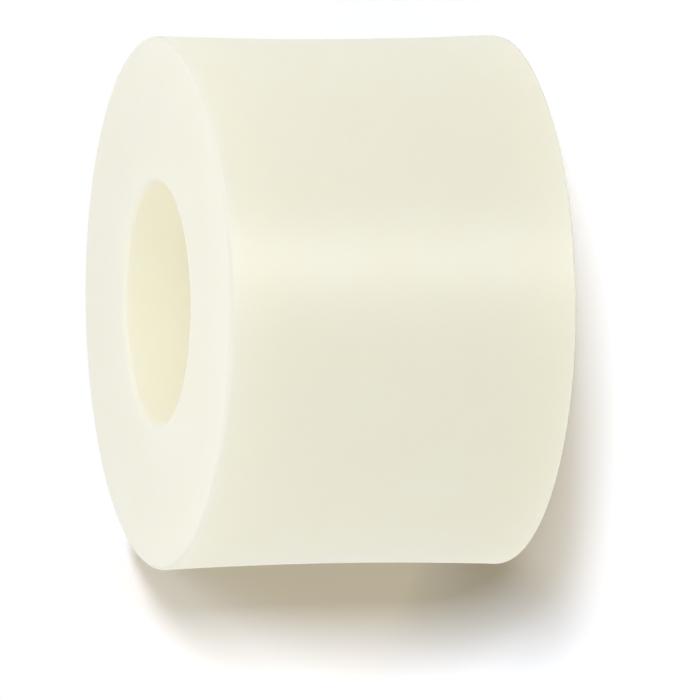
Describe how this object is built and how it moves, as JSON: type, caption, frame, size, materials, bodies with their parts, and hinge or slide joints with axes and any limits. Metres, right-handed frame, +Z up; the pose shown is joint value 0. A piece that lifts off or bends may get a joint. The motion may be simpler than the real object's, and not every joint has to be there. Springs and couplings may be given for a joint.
{
  "type": "round spacer",
  "caption": "Plain round spacer, a short thick-walled tube of natural nylon that keeps two parts a set distance apart on a screw.",
  "frame": {"origin": "centre of the lower end face, on the axis of the bore, where the spacer stands", "axes": "+Z up along the axis of the bore, towards the other end face; X and Y are free, because the spacer is round"},
  "size_m": [0.0096, 0.0096, 0.0063],
  "materials": {
    "nylon": "satin, as moulded, in natural cream nylon"
  },
  "bodies": {
    "root": {"spacer": "nylon"}
  },
  "joints": []
}
